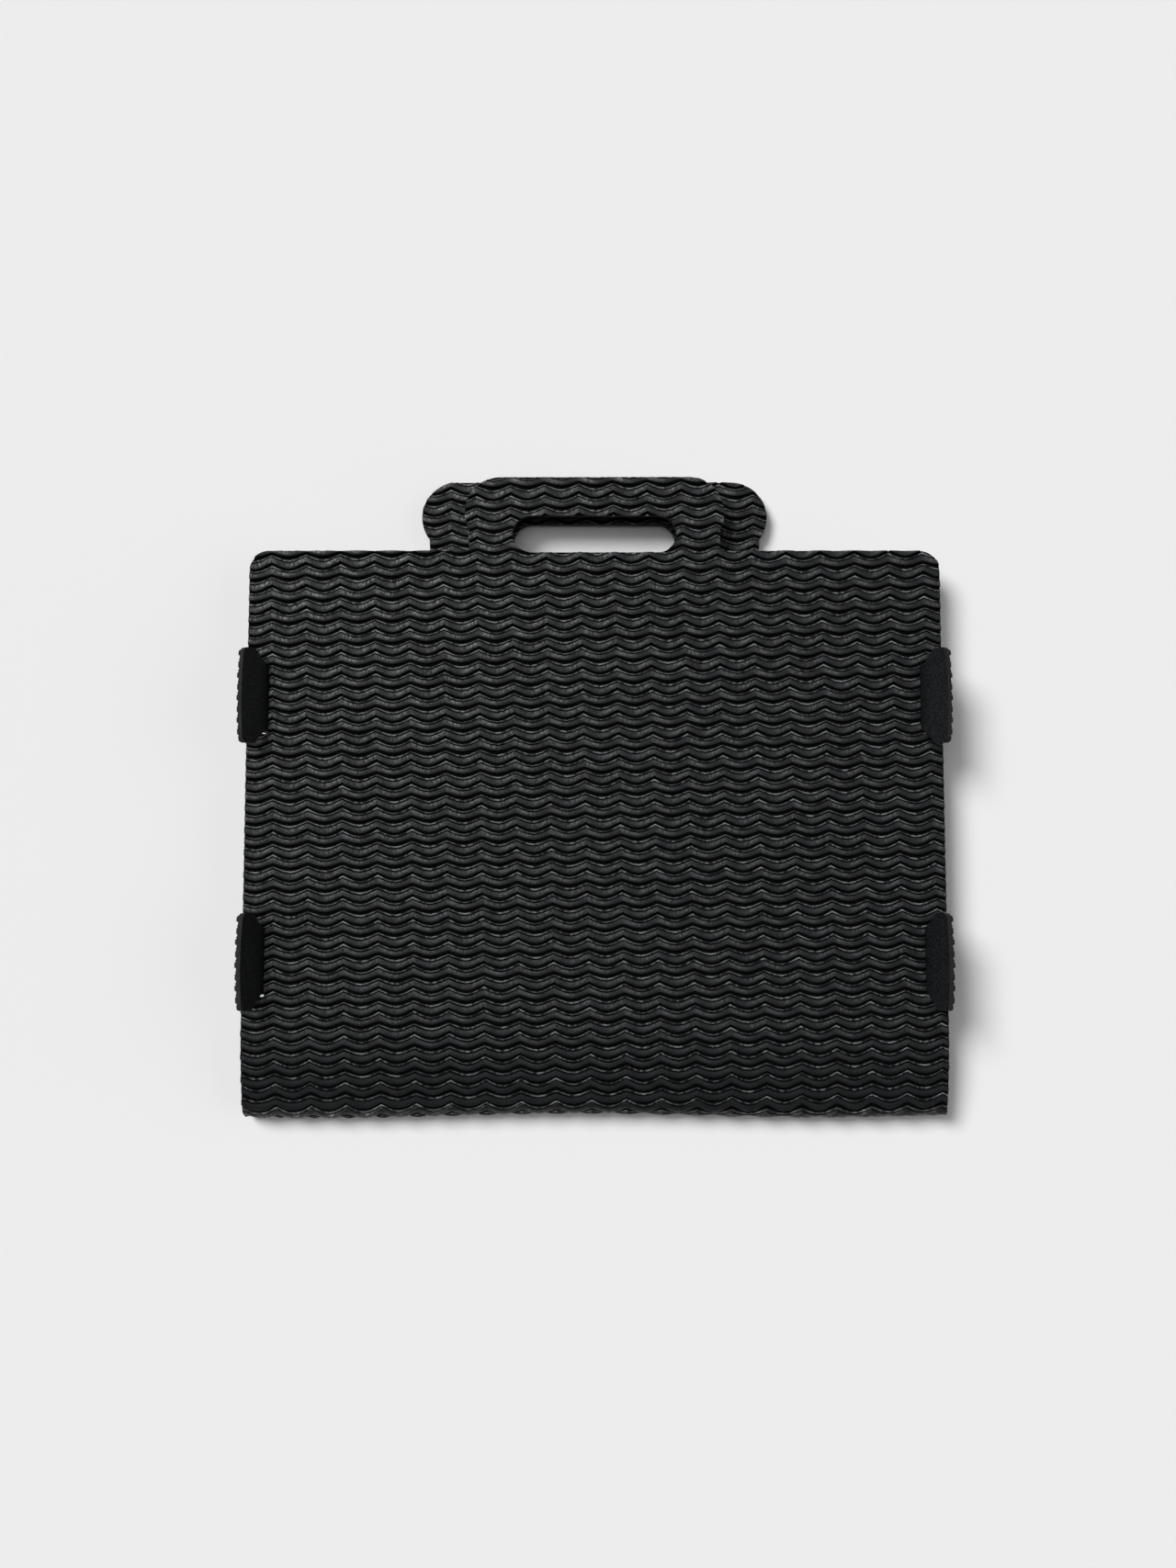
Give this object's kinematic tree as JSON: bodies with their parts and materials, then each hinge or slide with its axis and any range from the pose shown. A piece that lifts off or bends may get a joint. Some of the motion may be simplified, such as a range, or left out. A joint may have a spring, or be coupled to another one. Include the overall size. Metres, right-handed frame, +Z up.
{
  "type": "folded document case",
  "caption": "Slim carry case folded from wave-ribbed black foam rubber sheet, with cut-out handles and side straps whose tabs button through slits in the front panel.",
  "frame": {"origin": "under the middle of the case, on the surface that it lies on", "axes": "+X to the right across the case, +Y from the bottom fold to the handles, +Z up out of the front panel"},
  "size_m": [0.3828, 0.3519, 0.0407],
  "materials": {
    "ribbed_foam": "moulded matte ribs",
    "smooth_foam": "fine-grained matte"
  },
  "bodies": {
    "rear": {"rear_panel": "ribbed_foam", "bottom_fold": "ribbed_foam", "rear_handle_root": "ribbed_foam", "left_upper_strap": "smooth_foam", "left_lower_strap": "smooth_foam", "right_upper_strap": "smooth_foam", "right_lower_strap": "smooth_foam"},
    "front": {"front_panel": "ribbed_foam"},
    "front_grip": {"front_handle": "ribbed_foam"},
    "rear_grip": {"rear_handle": "ribbed_foam"},
    "left_upper_end": {"left_upper_tab": "smooth_foam"},
    "left_lower_end": {"left_lower_tab": "smooth_foam"},
    "right_upper_end": {"right_upper_tab": "smooth_foam"},
    "right_lower_end": {"right_lower_tab": "smooth_foam"}
  },
  "joints": [
    {"name": "front_open", "type": "hinge", "parent": "rear", "child": "front", "pos_m": [0, -0.1753, 0.012], "axis": [1, 0, 0], "range_deg": [0, 170], "deforming": ["bottom_fold", "left_upper_strap", "left_lower_strap", "right_upper_strap", "right_lower_strap", "left_upper_tab", "left_lower_tab", "right_upper_tab", "right_lower_tab"]},
    {"name": "front_handle_bend", "type": "hinge", "parent": "front", "child": "front_grip", "pos_m": [0, 0.1339, 0.024], "axis": [1, 0, 0], "range_deg": [0, 60], "stiffness_Nm_per_rad": 0.2},
    {"name": "rear_handle_bend", "type": "hinge", "parent": "rear", "child": "rear_grip", "pos_m": [0, 0.1339, 0.0044], "axis": [1, 0, 0], "range_deg": [-45, 0], "stiffness_Nm_per_rad": 0.4},
    {"name": "left_upper_tab_bend", "type": "hinge", "parent": "rear", "child": "left_upper_end", "pos_m": [-0.1784, 0.0515, 0.02586], "axis": [0, 1, 0], "range_deg": [0, 32], "stiffness_Nm_per_rad": 0.05},
    {"name": "left_lower_tab_bend", "type": "hinge", "parent": "rear", "child": "left_lower_end", "pos_m": [-0.1784, -0.091, 0.02586], "axis": [0, 1, 0], "range_deg": [0, 32], "stiffness_Nm_per_rad": 0.05},
    {"name": "right_upper_tab_bend", "type": "hinge", "parent": "rear", "child": "right_upper_end", "pos_m": [0.1784, 0.0515, 0.02586], "axis": [0, -1, 0], "range_deg": [0, 32], "stiffness_Nm_per_rad": 0.05},
    {"name": "right_lower_tab_bend", "type": "hinge", "parent": "rear", "child": "right_lower_end", "pos_m": [0.1784, -0.091, 0.02586], "axis": [0, -1, 0], "range_deg": [0, 32], "stiffness_Nm_per_rad": 0.05}
  ]
}
